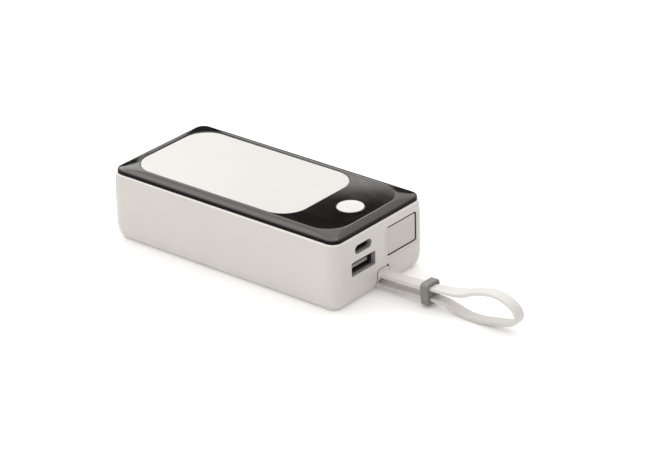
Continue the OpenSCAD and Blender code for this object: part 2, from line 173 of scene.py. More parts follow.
def rounded_outline(length, width, radius, corner=8, along_length=1, along_width=1):
    """Points of a rectangle with round corners, anticlockwise; the steps settle how many."""
    radius = min(radius, 0.499 * length, 0.499 * width)
    half_length = length / 2 - radius
    half_width = width / 2 - radius
    corners = [
        (half_length, half_width, along_length),
        (-half_length, half_width, along_width),
        (-half_length, -half_width, along_length),
        (half_length, -half_width, along_width),
    ]
    points = []
    for quarter, (x, y, steps) in enumerate(corners):
        for k in range(corner + 1):
            angle = math.pi / 2 * (quarter + k / corner)
            points.append(Vector((x + radius * math.cos(angle), y + radius * math.sin(angle))))
        next_x, next_y, _ = corners[(quarter + 1) % 4]
        start = points[-1]
        end = Vector((next_x + radius * math.cos(angle), next_y + radius * math.sin(angle)))
        points += [start.lerp(end, k / steps) for k in range(1, steps)]
    return points


def skin(rings, closed=False):
    """Surface through rings that have the same number of points; open ends are capped."""
    mesh = bmesh.new()
    rows = [[mesh.verts.new(point) for point in ring] for ring in rings]
    following = rows[1:] + rows[:1] if closed else rows[1:]
    for row, after in zip(rows, following):
        for k in range(len(row)):
            n = (k + 1) % len(row)
            mesh.faces.new((row[k], row[n], after[n], after[k]))
    if not closed:
        mesh.faces.new(rows[0])
        mesh.faces.new(rows[-1])
    bmesh.ops.recalc_face_normals(mesh, faces=mesh.faces)
    return mesh


def level(outline, z, x=0.0, y=0.0):
    """An outline laid flat at height z."""
    return [Vector((x + p.x, y + p.y, z)) for p in outline]


def across(outline, x, y=0.0, z=0.0):
    """An outline stood up across the X axis: its first number runs along Y, its second up."""
    return [Vector((x, y + p.x, z + p.y)) for p in outline]


def lying(x):
    """Lays outlines flat about x, each at the height that comes with it."""
    return lambda outline, z: level(outline, z, x)


def standing(y, z):
    """Stands outlines up across the X axis about y and z, each at the X that comes with it."""
    return lambda outline, x: across(outline, x, y, z)


def make(name, mesh):
    """Object from a bmesh, linked to the scene."""
    data = bpy.data.meshes.new(name)
    mesh.to_mesh(data)
    mesh.free()
    made = bpy.data.objects.new(name, data)
    bpy.context.scene.collection.objects.link(made)
    return made


def together(meshes):
    """One bmesh out of several that don't overlap."""
    whole = bmesh.new()
    for mesh in meshes:
        part = bpy.data.meshes.new("part")
        mesh.to_mesh(part)
        mesh.free()
        whole.from_mesh(part)
        bpy.data.meshes.remove(part)
    return whole


def combine(target, meshes, operation="DIFFERENCE"):
    """Cuts the meshes out of target, adds them to it, or keeps what they share with it."""
    tool = make("tool", together(meshes))
    modifier = target.modifiers.new("combine", "BOOLEAN")
    modifier.operation = operation
    modifier.solver = "EXACT"
    modifier.object = tool
    graph = bpy.context.evaluated_depsgraph_get()
    result = bpy.data.meshes.new_from_object(target.evaluated_get(graph))
    target.modifiers.clear()
    target.data = result
    bpy.data.objects.remove(tool)
    clean = bmesh.new()
    clean.from_mesh(result)
    bmesh.ops.remove_doubles(clean, verts=clean.verts, dist=0.002 * MM)
    bmesh.ops.dissolve_degenerate(clean, edges=clean.edges, dist=0.001 * MM)
    clean.to_mesh(result)
    clean.free()
    return target


def fused(name, *meshes):
    """Object made of meshes that overlap."""
    return combine(make(name, meshes[0]), meshes[1:], "UNION")


def quarter_steps(steps=5):
    """Angles from 0 to 90 degrees."""
    return [math.pi / 2 * k / steps for k in range(steps + 1)]


def eased(end, ease, steps=5):
    """Places up to end, with the insets there that round an edge over by ease."""
    return [
        (end - ease * (1 - math.sin(a)), ease * (1 - math.cos(a))) for a in quarter_steps(steps)
    ]


def mirrored(half):
    """Stages on one side of 0, with the same ones on the other side before them."""
    return [(-place, inset) for place, inset in reversed(half)] + half


def block(low, size):
    """Rectangular block from its low corner."""
    outline = rounded_outline(size[0], size[1], 0.12 * min(size[0], size[1]), corner=2)
    x, y = (low[axis] + size[axis] / 2 for axis in (0, 1))
    return skin([level(outline, z, x, y) for z in (low[2], low[2] + size[2])])


def lathe(profile, x=0.0, y=0.0, steps=96):
    """Solid turned about an upright axis; the profile's radius is above zero at both ends."""
    angles = [math.tau * k / steps for k in range(steps)]
    return skin([
        [Vector((x + radius * math.cos(a), y + radius * math.sin(a), z)) for a in angles]
        for radius, z in profile
    ])


def hole_cutter(stand, width, height, radius, face, depth, ease, corner=8):
    """Cutter for an opening whose edge is rounded over by ease. stand lays an outline in place."""
    stages = [(face - depth, 0.0)] + eased(face, ease) + [(face + 1 * MM, ease)]
    return skin([
        stand(rounded_outline(width + 2 * grow, height + 2 * grow, radius + grow, corner), place)
        for place, grow in stages
    ])


def plate(stand, width, height, radius, low, high, ease, corner=8):
    """Plate from low to high whose edge at high is rounded over by ease. stand as above."""
    return skin([
        stand(rounded_outline(width - 2 * inset, height - 2 * inset, radius - inset, corner), place)
        for place, inset in [(low, 0.0)] + eased(high, ease)
    ])


# ---- Material helpers ----

class Finish:
    """A Principled material, with short calls for the nodes that its detail needs."""

    def __init__(self, name, colour, roughness, settings=None):
        self.material = bpy.data.materials.new(name)
        self.material.use_nodes = True
        self.tree = self.material.node_tree
        self.shader = self.tree.nodes["Principled BSDF"]
        self.shader.inputs["Base Color"].default_value = (*colour, 1)
        self.shader.inputs["Roughness"].default_value = roughness
        for socket, value in (settings or {}).items():
            self.shader.inputs[socket].default_value = value
        self.place = self.node("ShaderNodeTexCoord").outputs["Object"]
        self.normal = None

    def node(self, kind, options=None, **inputs):
        made = self.tree.nodes.new(kind)
        for name, value in (options or {}).items():
            setattr(made, name, value)
        for name, value in inputs.items():
            self.feed(made.inputs[name.replace("_", " ")], value)
        return made

    def feed(self, socket, value):
        if isinstance(value, bpy.types.NodeSocket):
            self.tree.links.new(value, socket)
        else:
            socket.default_value = value

    def stretched(self, scale):
        """The place, scaled by different amounts along X, Y and Z."""
        return self.node("ShaderNodeMapping", Vector=self.place, Scale=scale).outputs["Vector"]

    def grain(self, size, detail=2.0, place=None, distortion=0.0):
        """Noise from 0 to 1 whose features are about size metres across."""
        return self.node(
            "ShaderNodeTexNoise", Vector=place or self.place, Scale=1 / size, Detail=detail,
            Roughness=0.55, Distortion=distortion,
        ).outputs["Fac"]

    def cells(self, size):
        """Distance from the centre of random cells about size metres across."""
        return self.node("ShaderNodeTexVoronoi", Vector=self.place, Scale=1 / size).outputs["Distance"]

    def span(self, source, low, high, start=0.3, end=0.7):
        """source from start to end, turned into a value from low to high."""
        return self.node(
            "ShaderNodeMapRange", Value=source, From_Min=start, From_Max=end, To_Min=low, To_Max=high
        ).outputs["Result"]

    def arithmetic(self, operation, a, b):
        made = self.node("ShaderNodeMath", {"operation": operation})
        for socket, value in zip(made.inputs, (a, b)):
            self.feed(socket, value)
        return made.outputs["Value"]

    def sum(self, a, b):
        return self.arithmetic("ADD", a, b)

    def product(self, a, b):
        return self.arithmetic("MULTIPLY", a, b)

    def blend(self, factor, first, second):
        """Colour that goes from first to second with factor."""
        made = self.node("ShaderNodeMix", {"data_type": "RGBA"})
        self.feed(made.inputs[0], factor)
        for socket, colour in ((made.inputs[6], first), (made.inputs[7], second)):
            self.feed(socket, colour if isinstance(colour, bpy.types.NodeSocket) else (*colour, 1))
        return made.outputs[2]

    def colour(self, source):
        self.feed(self.shader.inputs["Base Color"], source)

    def mottle(self, source, colour, dark, light):
        """Base colour that wanders between two shades with source."""
        self.colour(self.blend(self.span(source, 0, 1), shade(colour, dark), shade(colour, light)))

    def tint(self, factor, colour):
        """Turns the base colour that is there towards colour with factor."""
        there = self.shader.inputs["Base Color"].links[0].from_socket
        self.colour(self.blend(factor, there, colour))

    def roughness(self, source):
        self.feed(self.shader.inputs["Roughness"], source)

    def relief(self, source, depth, strength=1.0):
        """Adds bumps of that depth, in metres, to the ones that are there."""
        made = self.node("ShaderNodeBump", Height=source, Distance=depth, Strength=strength)
        if self.normal is not None:
            self.feed(made.inputs["Normal"], self.normal)
        self.normal = made.outputs["Normal"]
        self.feed(self.shader.inputs["Normal"], self.normal)

    def edge_wear(self):
        """From 0 on flat ground to 1 on sharp outer edges."""
        point = self.node("ShaderNodeNewGeometry").outputs["Pointiness"]
        return self.span(point, 0, 1, 0.53, 0.62)


def shade(colour, amount):
    """The colour made darker or lighter by amount."""
    return tuple(min(1.0, channel * amount) for channel in colour)


def moulded(name, colour, rough, spread=0.05, texture=0.25 * MM, depth=0.004 * MM, settings=None):
    """Moulded plastic: faint flow clouding, fine surface texture and uneven gloss from handling."""
    finish = Finish(name, colour, rough, settings)
    clouds = finish.grain(30 * MM, 3, distortion=0.4)
    specks = finish.span(finish.grain(0.5 * MM, 1), 0, 1, 0.66, 0.74)
    finish.mottle(clouds, colour, 0.985, 1.015)
    finish.tint(finish.product(specks, 0.12), shade(colour, 0.86))
    handling = finish.grain(9 * MM, 4, distortion=1.0)
    rubs = finish.span(finish.grain(1.2 * MM, 2, finish.stretched((0.08, 1, 1))), 0, 0.25)
    uneven = finish.span(handling, rough - spread, rough + spread)
    finish.roughness(finish.sum(uneven, finish.product(rubs, spread)))
    finish.relief(finish.grain(texture, 2), depth)
    finish.relief(finish.grain(6 * MM, 1), 0.01 * MM, 0.5)
    return finish


WHITE = (0.655, 0.622, 0.597)


def shell_white():
    """Satin white, with a painted highlight: a thin paler line along the rim under the top frame."""
    finish = moulded("satin_white", WHITE, 0.38, texture=0.3 * MM, depth=0.0035 * MM)
    height = finish.node("ShaderNodeSeparateXYZ", Vector=finish.place).outputs["Z"]
    # Painted highlight: a thin paler band just under the seam with the top frame
    rim = finish.span(height, 0, 1, SEAM_Z - 0.62 * MM, SEAM_Z - 0.4 * MM)
    finish.tint(rim, shade(WHITE, 1.3))
    return finish


def polished_black():
    """High-gloss black: nearly a mirror, with faint wiping marks, smudges and a few dust specks."""
    colour = (0.0085, 0.0083, 0.0078)
    finish = Finish("polished_black", colour, 0.1, {
        "IOR": 1.5,
        "Specular Tint": (1.0, 0.965, 0.93, 1),
    })
    smudge = finish.span(finish.grain(14 * MM, 4, distortion=1.5), 0.065, 0.1)
    wiping = finish.grain(0.9 * MM, 2, finish.stretched((0.05, 1, 1)))
    finish.roughness(finish.sum(smudge, finish.span(wiping, 0, 0.02, 0.5, 0.8)))
    dust = finish.span(finish.grain(0.45 * MM, 1), 0, 1, 0.74, 0.8)
    finish.colour(finish.blend(finish.edge_wear(), colour, (0.04, 0.039, 0.037)))
    finish.tint(finish.product(dust, 0.25), (0.16, 0.155, 0.15))
    finish.relief(finish.grain(5 * MM, 1), 0.0015 * MM, 0.5)
    return finish


def opal():
    """Opal diffuser: milky, with a frosted face and light that travels inside."""
    colour = (0.705, 0.685, 0.665)
    finish = Finish("opal", colour, 0.32, {
        "Subsurface Weight": 0.15,
        "Subsurface Radius": (1.0, 0.95, 0.9),
        "Subsurface Scale": 1.2 * MM,
        "IOR": 1.49,
    })
    finish.mottle(finish.grain(22 * MM, 3), colour, 0.99, 1.01)
    finish.roughness(finish.span(finish.grain(8 * MM, 4, distortion=1.0), 0.28, 0.38))
    finish.relief(finish.grain(0.18 * MM, 2), 0.004 * MM)
    return finish


def tinted_window():
    """Glossy tinted window over a pale display."""
    colour = (0.55, 0.505, 0.487)
    finish = Finish("tinted_window", colour, 0.16, {"Coat Weight": 0.3, "Coat Roughness": 0.05})
    finish.mottle(finish.grain(5 * MM, 3), colour, 0.98, 1.02)
    finish.roughness(finish.span(finish.grain(3 * MM, 4, distortion=1.0), 0.12, 0.22))
    finish.relief(finish.grain(2 * MM, 1), 0.003 * MM, 0.6)
    return finish


def drawn_metal(name, colour, rough, along=(0.05, 1, 1)):
    """Drawn or rolled metal, with fine lines along one axis and dull patches."""
    finish = Finish(name, colour, rough, {"Metallic": 1.0})
    lines = finish.grain(0.05 * MM, 2, finish.stretched(along))
    patches = finish.grain(1.6 * MM, 3)
    finish.mottle(patches, colour, 0.88, 1.05)
    finish.roughness(finish.sum(
        finish.span(lines, rough - 0.08, rough + 0.1), finish.span(patches, 0, 0.08)
    ))
    finish.relief(lines, 0.002 * MM)
    return finish


def soft_rubber(name, colour, rough):
    """Soft rubber or silicone: matt, faintly powdery at grazing angles, with a fine skin."""
    finish = Finish(name, colour, rough, {"Sheen Weight": 0.08, "Sheen Roughness": 0.4})
    finish.mottle(finish.grain(9 * MM, 3), colour, 0.975, 1.015)
    finish.roughness(finish.span(finish.grain(2.5 * MM, 4), rough - 0.07, rough + 0.07))
    finish.relief(finish.grain(0.12 * MM, 2), 0.006 * MM)
    finish.relief(finish.grain(1.4 * MM, 2), 0.012 * MM, 0.6)
    return finish


def strap_silicone():
    """Pale silicone with painted light and shade: paler higher up, darker where the strands lie face to
    face.
    """
    finish = soft_rubber("strap_silicone", (0.60, 0.577, 0.557), 0.5)
    place = finish.node("ShaderNodeSeparateXYZ", Vector=finish.place)
    height = place.outputs["Z"]
    # Painted light: the colour turns paler from the lower strand up to the upper one
    finish.tint(finish.span(height, 0, 1, 2.5 * MM, 6.5 * MM), (0.685, 0.662, 0.64))
    # Painted shade between the strands, from where they leave the housing to before the loop
    rise = finish.product(place.outputs["X"], STRAND_SLOPE)
    level_height = finish.arithmetic("SUBTRACT", height, rise)
    above_lower = finish.span(level_height, 0, 1, -0.75 * MM, -0.5 * MM)
    below_upper = finish.span(level_height, 1, 0, 1.9 * MM, 2.3 * MM)
    leaves_housing = finish.span(place.outputs["X"], 0, 1, 58 * MM, 74 * MM)
    before_loop = finish.span(place.outputs["X"], 1, 0, 82 * MM, 92 * MM)
    facing = finish.product(above_lower, below_upper)
    along = finish.product(leaves_housing, before_loop)
    finish.tint(finish.product(facing, along), (0.31, 0.30, 0.29))
    return finish


def foam(name, colour, pore):
    """Closed-cell foam: round pores with thin walls, and painted shade in the middle of each pore."""
    finish = Finish(name, colour, 0.9)
    pores = finish.cells(pore)
    # Painted shade: each pore darker towards its middle
    finish.colour(finish.blend(finish.span(pores, 0, 1, 0.1, 0.5), shade(colour, 0.55), colour))
    finish.roughness(finish.span(pores, 0.95, 0.8, 0.1, 0.5))
    finish.relief(pores, 0.4 * pore)
    return finish


def solder_masked_board():
    """Printed circuit board: green mask, copper tracks that show through it, and small vias."""
    mask = (0.012, 0.11, 0.045)
    finish = Finish("solder_masked_board", mask, 0.3, {"Coat Weight": 0.4, "Coat Roughness": 0.15})
    runs = finish.node(
        "ShaderNodeTexWave", {"bands_direction": "X"}, Vector=finish.place, Scale=1 / (6 * MM),
        Distortion=3.0, Detail=0.0,
    ).outputs["Fac"]
    tracks = finish.span(runs, 0, 1, 0.66, 0.7)
    vias = finish.span(finish.cells(2.4 * MM), 1, 0, 0.1, 0.14)
    finish.colour(finish.blend(tracks, mask, (0.03, 0.2, 0.08)))
    finish.tint(vias, (0.55, 0.5, 0.38))
    finish.roughness(finish.span(finish.grain(2 * MM, 3), 0.24, 0.38))
    finish.relief(tracks, 0.03 * MM)
    finish.relief(vias, 0.02 * MM)
    return finish


def shrink_wrap():
    """Heat-shrink sleeve of a cell: glossy film with fine lengthwise wrinkles."""
    colour = (0.06, 0.33, 0.24)
    finish = Finish("shrink_wrap", colour, 0.3, {"Coat Weight": 0.3})
    wrinkles = finish.grain(1.5 * MM, 3, finish.stretched((0.08, 1, 1)))
    finish.mottle(wrinkles, colour, 0.9, 1.1)
    finish.roughness(finish.span(finish.grain(6 * MM, 3), 0.24, 0.4))
    finish.relief(wrinkles, 0.03 * MM)
    return finish


def pressed_powder(name, colour, size, rough=0.7):
    """Sintered or pressed powder: small dark and light grains, with chipped edges."""
    finish = Finish(name, colour, rough)
    grains = finish.grain(size, 3)
    finish.mottle(grains, colour, 0.75, 1.25)
    finish.roughness(finish.span(grains, rough - 0.1, rough + 0.1))
    finish.relief(grains, 0.15 * size)
    return finish


FINISHES = {
    "white_shell": shell_white(),
    "black_gloss": polished_black(),
    "opal_diffuser": opal(),
    "foam_tape": foam("foam_tape", (0.55, 0.55, 0.53), 0.25 * MM),
    "white_inner": moulded("matt_white", (0.8, 0.8, 0.79), 0.5),
    "aluminium_board": moulded("white_mask", (0.82, 0.82, 0.83), 0.35, texture=0.6 * MM),
    "led_phosphor": soft_rubber("phosphor_gel", (0.85, 0.72, 0.2), 0.25),
    "steel": drawn_metal("zinc_plate", (0.6, 0.6, 0.58), 0.35, along=(1, 1, 1)),
    "white_button": moulded("button_white", (0.76, 0.735, 0.715), 0.3, texture=0.2 * MM),
    "black_inner": moulded("matt_black", (0.05, 0.05, 0.048), 0.5),
    "socket_steel": drawn_metal("socket_steel", (0.56, 0.55, 0.53), 0.3),
    "circuit_board": solder_masked_board(),
    "gold_contacts": drawn_metal("gold_flash", (0.85, 0.6, 0.22), 0.25),
    "display_window": tinted_window(),
    "ferrite": pressed_powder("ferrite", (0.11, 0.11, 0.12), 0.2 * MM),
    "tantalum": moulded("tantalum_epoxy", (0.75, 0.38, 0.06), 0.5),
    "ceramic": pressed_powder("ceramic", (0.5, 0.4, 0.28), 0.15 * MM, 0.55),
    "cell_wrap": shrink_wrap(),
    "nickel": drawn_metal("nickel", (0.68, 0.66, 0.6), 0.25, along=(1, 0.05, 1)),
    "foam": foam("grey_foam", (0.13, 0.14, 0.16), 0.5 * MM),
    "red_wire": soft_rubber("red_silicone", (0.55, 0.025, 0.02), 0.5),
    "black_wire": soft_rubber("black_silicone", (0.02, 0.02, 0.02), 0.5),
    "strap_rubber": strap_silicone(),
    "grey_slider": moulded(
        "slider_grey", (0.215, 0.205, 0.19), 0.44, texture=0.15 * MM, depth=0.008 * MM
    ),
}

# Finishes that only some faces of a piece carry
# Painted shade: grey for the walls of the socket openings
PORT_WALL_SHADE = moulded("port_wall_shade", (0.34, 0.325, 0.31), 0.5)
SEAM = moulded("seam_shadow", (0.1, 0.094, 0.088), 0.6)
# Painted shade: near black for the inside and front edge of the socket shells
SOCKET_INSIDE_SHADE = moulded("socket_inside_shade", (0.02, 0.02, 0.019), 0.5)
FRAME_BAND = moulded(
    "satin_black", (0.005, 0.005, 0.0047), 0.4, spread=0.04, settings={"Specular IOR Level": 0.06}
)
# Painted shade: near black for the window's sides and flange, in the gap round it
WINDOW_EDGE_SHADE = moulded("window_edge_shade", (0.02, 0.019, 0.018), 0.5)
# Painted highlight: grey for the front face of the black USB-A tongue
TONGUE_NOSE_HIGHLIGHT = moulded("tongue_nose_highlight", (0.34, 0.34, 0.32), 0.45)


# ---- Putting pieces in place ----

def settle(obj, slot, node, body="housing", sharp=40, extra_finishes=()):
    """Gives a new piece its finish and smooth shading, and lets it stand for a CAD node."""
    mesh = obj.data
    mesh.materials.clear()
    mesh.materials.append(FINISHES[slot].material)
    for finish in extra_finishes:
        mesh.materials.append(finish.material)
    for polygon in mesh.polygons:
        polygon.use_smooth = True
    mesh.set_sharp_from_angle(angle=math.radians(sharp))
    weighted = obj.modifiers.new("weighted_normals", "WEIGHTED_NORMAL")
    weighted.keep_sharp = True
    weighted.weight = 80
    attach(obj, body)
    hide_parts(node)
    return obj


def paint(obj, index, chosen):
    """Gives one of the piece's further finishes to the faces that chosen(centre, normal) picks."""
    for polygon in obj.data.polygons:
        if chosen(polygon.center, polygon.normal):
            polygon.material_index = index


def within(centre, y, z, width, height, margin=0.0):
    """Whether a face's centre lies in an upright rectangle about y and z."""
    return abs(centre.y - y) < (width + margin) / 2 and abs(centre.z - z) < (height + margin) / 2


def smooth_route(route, steps):
    """Catmull-Rom curve, in metres, through the route's points."""
    points = [Vector((x * MM, STRAP_Y, z * MM)) for x, z in route]
    last = len(points) - 1
    curve = []
    for i in range(last):
        a, b, c, d = (points[max(0, min(last, i + k))] for k in (-1, 0, 1, 2))
        for k in range(steps):
            t = k / steps
            curve.append(0.5 * (
                2 * b + (c - a) * t + (2 * a - 5 * b + 4 * c - d) * t ** 2
                + (3 * b - a - 3 * c + d) * t ** 3
            ))
    curve.append(points[last])
    return curve


# ---- Strap, a flat cord, and its slider ----

def build_strap():
    """Flat band along its route; past the slider the upper strand leans over a little."""
    path = smooth_route(STRAP_ROUTE, 6)
    section = rounded_outline(STRAP_WIDTH, STRAP_THICKNESS, 0.5 * MM, corner=4, along_length=4)
    most_lean = math.radians(11)
    lean_from = 82 * MM
    lean_to = 100 * MM
    rings = []
    for i, at in enumerate(path):
        ahead = (path[min(i + 1, len(path) - 1)] - path[max(i - 1, 0)]).normalized()
        along = (at.x - lean_from) / (lean_to - lean_from)
        leans = 0 < along < 1 and ahead.x > 0
        turn = Matrix.Rotation(
            most_lean * math.sin(math.pi * along) ** 2 if leans else 0.0, 3, ahead
        )
        across_strap = turn @ Vector((0, 1, 0))
        out = turn @ Vector((-ahead.z, 0, ahead.x))
        rings.append([at + across_strap * p.x + out * p.y for p in section])
    strap = settle(make("strap_band", skin(rings)), "strap_rubber", "strap", sharp=60)
    length = sum((b - a).length for a, b in zip(path, path[1:]))
    return strap, path, length


def build_slider():
    """Ring with rounded ends and a flared slot for each strand."""
    low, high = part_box("strap_slider")
    length = 3.5 * MM
    width = 8 * MM
    height = 8.9 * MM
    corner_radius = 1.6 * MM
    edge = 0.55 * MM
    body = make("slider_ring", skin([
        across(rounded_outline(width - 2 * inset, height - 2 * inset, corner_radius - inset, 10), x)
        for x, inset in mirrored(eased(length / 2, edge))
    ]))
    slot_width = 5.6 * MM
    slot_height = 2.1 * MM
    slot_radius = 0.3 * MM
    flare = 0.35 * MM
    slot = [
        (x, rounded_outline(slot_width + 2 * grow, slot_height + 2 * grow, slot_radius + grow, 6))
        for x, grow in mirrored(eased(length / 2, flare) + [(length, flare)])
    ]
    combine(body, [
        skin([across(outline, x, 0, side * STRAND_SPACING / 2) for x, outline in slot])
        for side in (-1, 1)
    ])
    turn = Matrix.Rotation(-math.atan(STRAND_SLOPE), 4, "Y")
    body.data.transform(Matrix.Translation((low + high) / 2) @ turn)
    return settle(body, "grey_slider", "strap_slider", "slider", sharp=50)


strap, strap_path, strap_length = build_strap()
slider = build_slider()


# ---- Housing ----

def shell_levels():
    """Heights and side swells up the shell: a tucked underside, upright sides, a soft shoulder."""
    low = BOTTOM_CURVE_HEIGHT
    high = SEAM_Z - TOP_CURVE_HEIGHT
    underside = [
        (low * (1 - math.cos(a)), SIDE_SWELL - BOTTOM_CURVE_DEPTH * (1 - math.sin(a)))
        for a in quarter_steps(12)
    ]
    sides = [(low + (high - low) * k / 14, SIDE_SWELL) for k in range(1, 14)]
    narrowing = SIDE_SWELL - RIM_STEP
    shoulder = [
        (high + TOP_CURVE_HEIGHT * math.sin(a), SIDE_SWELL - narrowing * (1 - math.cos(a)))
        for a in quarter_steps(14)
    ]
    return underside + sides + shoulder


def shell_rings():
    """Outlines of the shell at all its levels."""
    return [
        level(rounded_outline(
            FRAME_LENGTH + 2 * swell, FRAME_WIDTH + 2 * swell, CORNER_RADIUS + swell,
            corner=12, along_length=50, along_width=44,
        ), z)
        for z, swell in shell_levels()
    ]


def build_shell():
    """White shell: hollow inside, with openings for sockets, window and strap in the port end."""
    inner = rounded_outline(
        CAVITY_LENGTH, CAVITY_WIDTH, 3 * MM, corner=12, along_length=50, along_width=44
    )
    cavity = [level(inner, z) for z in (SEAM_Z, FLOOR_THICKNESS)]
    shell = make("housing_shell", skin(shell_rings() + cavity))

    def port(opening, radius, ease, face=FACE_X, play=0.0):
        y, z, width, height = opening
        depth = face - INNER_X + 1 * MM
        return hole_cutter(standing(y, z), width + play, height + play, radius, face, depth, ease)

    combine(shell, [
        port(USB_A_OPENING, 0.5 * MM, 0.22 * MM),
        port(USB_C_OPENING, 1.7 * MM, 0.22 * MM, FACE_X - 0.05 * MM),
        port(WINDOW_OPENING, 1 * MM, 0.2 * MM),
        port(ANCHOR_OPENING, 1.6 * MM, 0.12 * MM, play=0.2 * MM),
        window_groove(),
    ])
    combine(shell, [relief_hole()])
    settle(shell, "white_shell", "lower_shell", sharp=32, extra_finishes=[PORT_WALL_SHADE, SEAM])

    def beside(centre, *openings):
        return any(within(centre, *opening, margin=1 * MM) for opening in openings)

    def in_port(centre, normal):
        by_port = beside(centre, USB_A_OPENING, USB_C_OPENING)
        return by_port and INNER_X < centre.x < FACE_X - 0.2 * MM

    def in_seam(centre, normal):
        by_gap = beside(centre, WINDOW_OPENING, ANCHOR_OPENING)
        return by_gap and centre.x > INNER_X and abs(normal.x) < 0.5

    # Painted shade on the walls of the socket openings
    paint(shell, 1, in_port)
    paint(shell, 2, in_seam)
    paint(shell, 2, in_relief)


def relief_hole():
    """Small blind hole at the upper right of the strap anchor, across its seam."""
    return skin([
        across(rounded_outline(1.2 * MM, 1.0 * MM, 0.45 * MM, 4), x, RELIEF_Y, RELIEF_Z)
        for x in (FACE_X - 0.7 * MM, FACE_X + 1 * MM)
    ])


def in_relief(centre, normal):
    """Whether a face belongs to the small blind hole."""
    near = within(centre, RELIEF_Y, RELIEF_Z, 1.3 * MM, 1.1 * MM)
    return near and INNER_X < centre.x < FACE_X - 0.12 * MM


def window_groove():
    """Fine line round the display window, as a ring that cuts a shallow groove."""
    away = 1.15 * MM
    half = 0.16 * MM
    depth = 0.16 * MM
    section = [(-half, 0.2 * MM), (-half * 0.6, -depth), (half * 0.6, -depth), (half, 0.2 * MM)]
    return skin([
        across(
            rounded_outline(WINDOW_WIDTH + 2 * (away + side), WINDOW_HEIGHT + 2 * (away + side),
                            1 * MM + away + side),
            FACE_X + x, WINDOW_Y, WINDOW_Z,
        )
        for side, x in section
    ], closed=True)


def skirt_stages():
    """Inset, corner radius and height of the frame's rings, down inside the skirt and up to the band."""
    skirt_outside = (FRAME_WIDTH - CAVITY_WIDTH) / 2 + 0.1 * MM
    skirt_inside = skirt_outside - 0.1 * MM + SKIRT_WALL
    skirt_low = SEAM_Z - SKIRT_DEPTH
    band_low = SEAM_Z + 0.04 * MM
    ease = 0.12 * MM
    stages = [
        (skirt_inside, 2 * MM, TOP_Z - PLATE_THICKNESS),
        (skirt_inside, 2 * MM, skirt_low),
        (skirt_outside, 2.9 * MM, skirt_low),
        (skirt_outside, 2.9 * MM, band_low),
    ]
    for a in quarter_steps(3):
        inset = ease * (1 - math.sin(a))
        stages.append((inset, CORNER_RADIUS - inset, band_low + ease * (1 - math.cos(a))))
    return stages


def lip_stages():
    """The same over the band's rounded edge and up the sloping lip to the crease at the plate."""
    edge = 0.85 * MM
    crease = 0.45 * MM
    knee = 1.9 * MM
    knee_tilt = math.radians(3)
    slope = (TOP_Z - BAND_TOP) / LIP_WIDTH

    def turned_down(inset):
        """How far the lip's outer part, past the knee, lies below its straight slope."""
        past = max(0.0, knee - inset)
        return math.tan(knee_tilt) * past ** 2 / (past + 0.25 * MM)

    arc_end = math.pi / 2 - math.atan(slope) - knee_tilt
    start_inset = edge * (1 - math.cos(arc_end))
    start_z = BAND_TOP - edge * (1 - math.sin(arc_end)) + edge * 0.1
    stages = []
    for k in range(7):
        a = arc_end * k / 6
        inset = edge * (1 - math.cos(a))
        z = start_z - edge * (math.sin(arc_end) - math.sin(a)) - turned_down(start_inset)
        stages.append((inset, CORNER_RADIUS - inset, z))
    for k in range(1, 13):
        t = k / 12
        inset = start_inset + (LIP_WIDTH - crease - start_inset) * t
        radius = CORNER_RADIUS + (LIP_CORNER - CORNER_RADIUS) * inset / LIP_WIDTH
        z = start_z + (TOP_Z - crease * slope - start_z) * t - turned_down(inset)
        stages.append((inset, radius, z))
    for k in range(1, 5):
        t = k / 4
        inset = LIP_WIDTH - crease + 2 * crease * t
        stages.append((inset, LIP_CORNER - 0.5 * MM * t, TOP_Z - crease * slope * (1 - t) ** 2))
    return stages


def build_frame():
    """Top frame, with posts and a boss under its plate and holes for light and button."""
    cover = make("frame_cover", skin([
        level(rounded_outline(
            FRAME_LENGTH - 2 * inset, FRAME_WIDTH - 2 * inset, radius,
            corner=16, along_length=40, along_width=20,
        ), z)
        for inset, radius, z in skirt_stages() + lip_stages()
    ]))
    plate_low = TOP_Z - PLATE_THICKNESS
    into_plate = plate_low + 0.3 * MM
    post_x = 38.6 * MM
    post_y = 20.8 * MM
    post_radius = 1.7 * MM
    boss_radius = 8 * MM
    under_plate = [
        lathe([(post_radius, 27.7 * MM), (post_radius, into_plate)],
              LIGHT_X + sx * post_x, sy * post_y, 24)
        for sx in (-1, 1) for sy in (-1, 1)
    ]
    under_plate.append(
        lathe([(boss_radius, plate_low - 1.6 * MM), (boss_radius, into_plate)], BUTTON_X)
    )
    combine(cover, under_plate, "UNION")
    button_hole = 2 * BUTTON_RADIUS + 0.4 * MM
    combine(cover, [
        hole_cutter(lying(LIGHT_X), LIGHT_LENGTH + 0.2 * MM, LIGHT_WIDTH + 0.2 * MM,
                    LIGHT_RADIUS + 0.1 * MM, TOP_Z, 3 * MM, 0.1 * MM, corner=24),
        hole_cutter(lying(BUTTON_X), button_hole, button_hole, button_hole / 2, TOP_Z, 4 * MM,
                    0.12 * MM, corner=20),
    ])
    counterbore_radius = BUTTON_RADIUS + 1.4 * MM
    combine(cover, [lathe(
        [(counterbore_radius, plate_low - 2 * MM), (counterbore_radius, plate_low)], BUTTON_X
    )])
    settle(cover, "black_gloss", "top_frame", sharp=32, extra_finishes=[FRAME_BAND])
    paint(cover, 1, lambda centre, normal: abs(normal.z) < 0.3 and centre.z < BAND_TOP)


